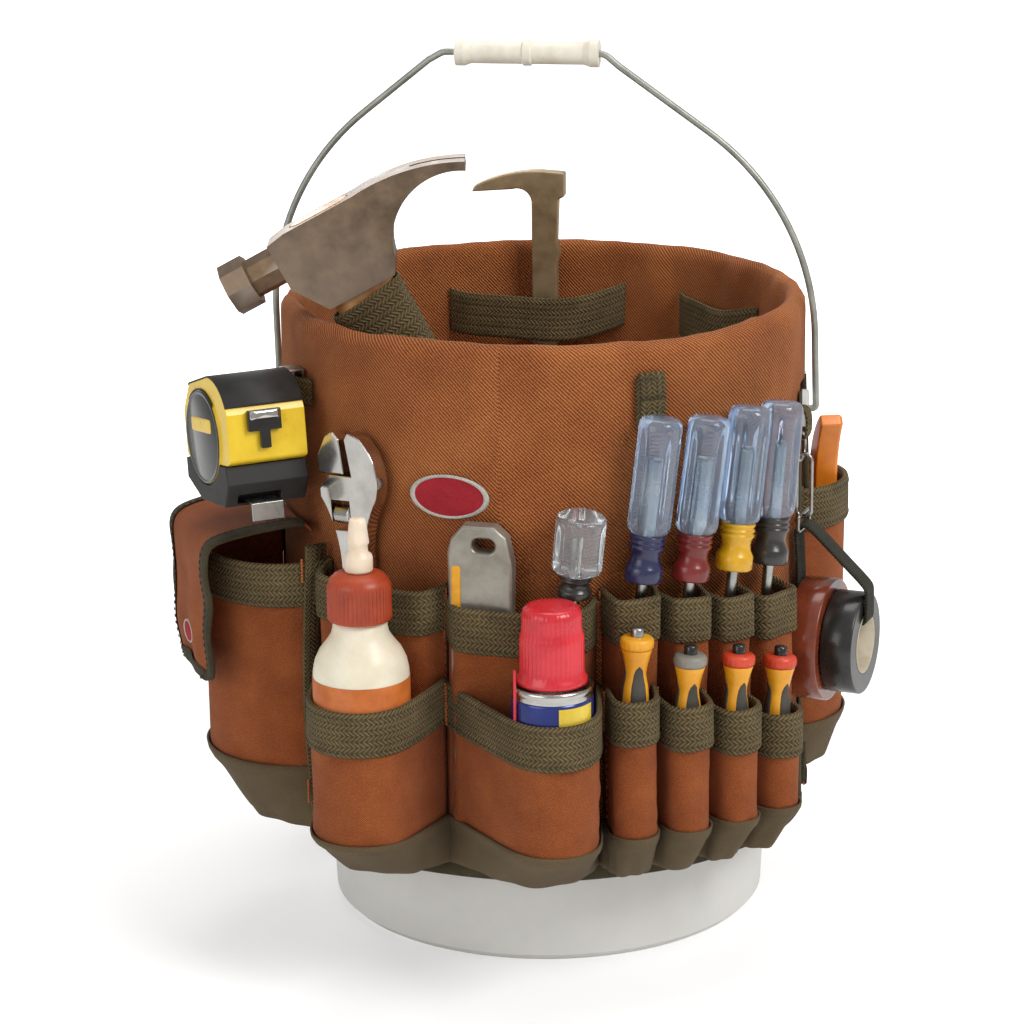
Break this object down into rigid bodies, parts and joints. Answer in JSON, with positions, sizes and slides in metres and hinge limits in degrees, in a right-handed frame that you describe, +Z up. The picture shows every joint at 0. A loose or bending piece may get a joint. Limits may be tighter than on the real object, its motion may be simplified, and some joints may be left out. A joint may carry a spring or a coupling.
{
  "type": "tool bucket organizer",
  "caption": "Canvas pocket organizer with webbing loops draped over a round plastic pail with a swinging wire bail, its pockets holding hand tools, glue, a spray can and tape rolls.",
  "frame": {"origin": "centre of the pail's flat bottom, on the floor it stands on", "axes": "+Z up; the two bail ears lie on the X axis; the side with the badge and the long screwdrivers faces -Y"},
  "size_m": [0.4174, 0.4117, 0.52],
  "materials": {
    "pail_plastic": "smooth white moulded plastic",
    "bail_steel": "drawn wire, dull zinc",
    "grip_plastic": "off-white moulded plastic",
    "skirt_canvas": "rust-brown twill, bold diagonal weave",
    "pocket_canvas": "rust-brown plain weave",
    "liner_canvas": "rust-brown canvas, inner side",
    "olive_webbing": "olive-green herringbone webbing",
    "olive_canvas": "olive-green heavy canvas",
    "badge_cloth": "woven red badge, bare",
    "hammer_steel": "forged steel, dark worn finish",
    "handle_wood": "clear-lacquered wood",
    "bar_steel": "dark painted steel, worn edges",
    "tape_yellow": "yellow moulded plastic",
    "tape_rubber": "black moulded rubber",
    "tape_metal": "spring steel",
    "lock_chrome": "chromed button",
    "wrench_chrome": "chromed forged steel",
    "bottle_plastic": "cream blown plastic",
    "cap_plastic": "ribbed red-brown plastic",
    "nozzle_plastic": "milky plastic",
    "knife_metal": "grey painted cast body",
    "can_blue": "printed tin, blue",
    "can_red_plastic": "red moulded cap",
    "clear_blue_plastic": "clear blue-tinted handle",
    "clear_plastic": "clear handle",
    "driver_yellow_plastic": "yellow handle with dark grip",
    "snips_plastic": "orange dipped handle",
    "brown_roll_tape": "brown-red vinyl tape",
    "black_roll_tape": "black vinyl tape",
    "ring_steel": "bright wire",
    "strap_olive": "ribbed olive strap"
  },
  "bodies": {
    "organizer": {"pail": "pail_plastic", "rim_wrap": "skirt_canvas", "liner": "liner_canvas", "front_skirt": "skirt_canvas", "back_skirt": "skirt_canvas", "hem_binding": "olive_webbing", "slit_bindings": "olive_webbing", "upper_pockets": "pocket_canvas", "upper_sleeves": "pocket_canvas", "upper_webbing": "olive_webbing", "lower_pockets": "pocket_canvas", "lower_sleeves": "pocket_canvas", "lower_webbing": "olive_webbing", "flap_pocket": "pocket_canvas", "flap_top": "pocket_canvas", "side_pocket": "pocket_canvas", "back_pockets": "pocket_canvas", "side_back_webbing": "olive_webbing", "pocket_bases": "olive_canvas", "badge": "badge_cloth", "web_loops": "olive_webbing", "hammer_loop": "olive_webbing", "bar_loop": "olive_webbing", "spare_loop": "olive_webbing"},
    "bail": {"bail_wire": "bail_steel"},
    "grip": {"bail_grip": "grip_plastic"},
    "flap": {"pocket_flap": "pocket_canvas"},
    "hammer": {"hammer_head": "hammer_steel", "hammer_handle": "handle_wood"},
    "pry_bar": {"flat_bar": "bar_steel"},
    "tape_measure": {"tape_case": "tape_yellow", "tape_bumper": "tape_rubber", "tape_belt_clip": "tape_metal", "tape_hook": "tape_metal"},
    "lock_button": {"tape_lock": "lock_chrome"},
    "wrench": {"wrench_frame": "wrench_chrome"},
    "jaw": {"wrench_jaw": "wrench_chrome"},
    "worm": {"wrench_worm": "wrench_chrome"},
    "glue": {"glue_bottle": "bottle_plastic", "glue_cap": "cap_plastic", "glue_nozzle": "nozzle_plastic"},
    "can": {"spray_can": "can_blue"},
    "can_cap": {"spray_cap": "can_red_plastic"},
    "knife": {"utility_knife": "knife_metal"},
    "snips": {"snips_handle": "snips_plastic"},
    "tape_hanger": {"split_ring": "ring_steel", "snap_clip": "ring_steel", "d_ring": "ring_steel", "tape_strap": "strap_olive"},
    "brown_roll": {"brown_tape": "brown_roll_tape"},
    "black_roll": {"black_tape": "black_roll_tape"},
    "driver_blue": {"driver_blue": "clear_blue_plastic"},
    "driver_red": {"driver_red": "clear_blue_plastic"},
    "driver_yellow": {"driver_yellow": "clear_blue_plastic"},
    "driver_black": {"driver_black": "clear_blue_plastic"},
    "stubby_driver": {"stubby_driver": "clear_plastic"},
    "small_driver_1": {"small_driver_1": "driver_yellow_plastic"},
    "small_driver_2": {"small_driver_2": "driver_yellow_plastic"},
    "small_driver_3": {"small_driver_3": "driver_yellow_plastic"},
    "small_driver_4": {"small_driver_4": "driver_yellow_plastic"}
  },
  "joints": [
    {"name": "bail_swing", "type": "hinge", "parent": "organizer", "child": "bail", "pos_m": [0, 0, 0.305], "axis": [1, 0, 0], "range_deg": [-100, 14]},
    {"name": "grip_spin", "type": "hinge", "parent": "bail", "child": "grip", "pos_m": [-0.008, 0, 0.512], "axis": [1, 0, 0], "continuous": true},
    {"name": "flap_lift", "type": "hinge", "parent": "organizer", "child": "flap", "pos_m": [-0.1936, -0.10512, 0.247], "axis": [-0.4772, 0.8788, 0], "range_deg": [0, 95]},
    {"name": "hammer_lift", "type": "slide", "parent": "organizer", "child": "hammer", "axis": [-0.4623, -0.0815, 0.883], "range_m": [0, 0.06]},
    {"name": "pry_bar_lift", "type": "slide", "parent": "organizer", "child": "pry_bar", "axis": [0, 0, 1], "range_m": [0, 0.08]},
    {"name": "tape_lift", "type": "slide", "parent": "organizer", "child": "tape_measure", "axis": [0, 0, 1], "range_m": [0, 0.013]},
    {"name": "lock_press", "type": "slide", "parent": "tape_measure", "child": "lock_button", "axis": [0.0798, -0.114, -0.9903], "range_m": [0, 0.006]},
    {"name": "wrench_lift", "type": "slide", "parent": "organizer", "child": "wrench", "axis": [-0.0882, 0.0562, 0.9945], "range_m": [0, 0.05]},
    {"name": "worm_turn", "type": "hinge", "parent": "wrench", "child": "worm", "pos_m": [-0.08651, -0.13851, 0.27008], "axis": [0.8388, -0.5344, 0.1045], "range_deg": [0, 720]},
    {"name": "jaw_slide", "type": "slide", "parent": "wrench", "child": "jaw", "axis": [-0.8388, 0.5344, -0.1045], "range_m": [0, 0.0051]},
    {"name": "glue_lift", "type": "slide", "parent": "organizer", "child": "glue", "axis": [0, 0, 1], "range_m": [0, 0.05]},
    {"name": "can_lift", "type": "slide", "parent": "organizer", "child": "can", "axis": [0, 0, 1], "range_m": [0, 0.03]},
    {"name": "can_cap_pull", "type": "slide", "parent": "can", "child": "can_cap", "axis": [0, 0, 1], "range_m": [0, 0.03]},
    {"name": "knife_lift", "type": "slide", "parent": "organizer", "child": "knife", "axis": [0.0087, -0.0005, 1], "range_m": [0, 0.05]},
    {"name": "snips_lift", "type": "slide", "parent": "organizer", "child": "snips", "axis": [0, 0, 1], "range_m": [0, 0.05]},
    {"name": "hanger_swing", "type": "hinge", "parent": "organizer", "child": "tape_hanger", "pos_m": [0.15619, -0.03606, 0.2995], "axis": [-0.225, -0.9744, 0], "range_deg": [0, 15]},
    {"name": "brown_roll_turn", "type": "hinge", "parent": "tape_hanger", "child": "brown_roll", "pos_m": [0.18026, -0.04162, 0.176], "axis": [0.9744, -0.225, 0], "continuous": true},
    {"name": "black_roll_turn", "type": "hinge", "parent": "tape_hanger", "child": "black_roll", "pos_m": [0.19975, -0.04612, 0.176], "axis": [0.9744, -0.225, 0], "continuous": true},
    {"name": "driver_blue_lift", "type": "slide", "parent": "organizer", "child": "driver_blue", "axis": [0.108, 0.0565, 0.9925], "range_m": [0, 0.06]},
    {"name": "driver_red_lift", "type": "slide", "parent": "organizer", "child": "driver_red", "axis": [0.1106, 0.0845, 0.9903], "range_m": [0, 0.06]},
    {"name": "driver_yellow_lift", "type": "slide", "parent": "organizer", "child": "driver_yellow", "axis": [0.0942, 0.1024, 0.9903], "range_m": [0, 0.06]},
    {"name": "driver_black_lift", "type": "slide", "parent": "organizer", "child": "driver_black", "axis": [0.066, 0.1024, 0.9925], "range_m": [0, 0.06]},
    {"name": "stubby_driver_lift", "type": "slide", "parent": "organizer", "child": "stubby_driver", "axis": [0.1106, -0.0788, 0.9907], "range_m": [0, 0.05]},
    {"name": "small_driver_1_lift", "type": "slide", "parent": "organizer", "child": "small_driver_1", "axis": [0.0317, 0.0145, 0.9994], "range_m": [0, 0.04]},
    {"name": "small_driver_2_lift", "type": "slide", "parent": "organizer", "child": "small_driver_2", "axis": [0.0433, 0.0294, 0.9986], "range_m": [0, 0.04]},
    {"name": "small_driver_3_lift", "type": "slide", "parent": "organizer", "child": "small_driver_3", "axis": [0.0503, 0.0483, 0.9976], "range_m": [0, 0.04]},
    {"name": "small_driver_4_lift", "type": "slide", "parent": "organizer", "child": "small_driver_4", "axis": [0.0416, 0.056, 0.9976], "range_m": [0, 0.04]}
  ],
  "couplings": [
    {"joint": "jaw_slide", "follows": "worm_turn", "m_per_rad": 0.0004}
  ]
}
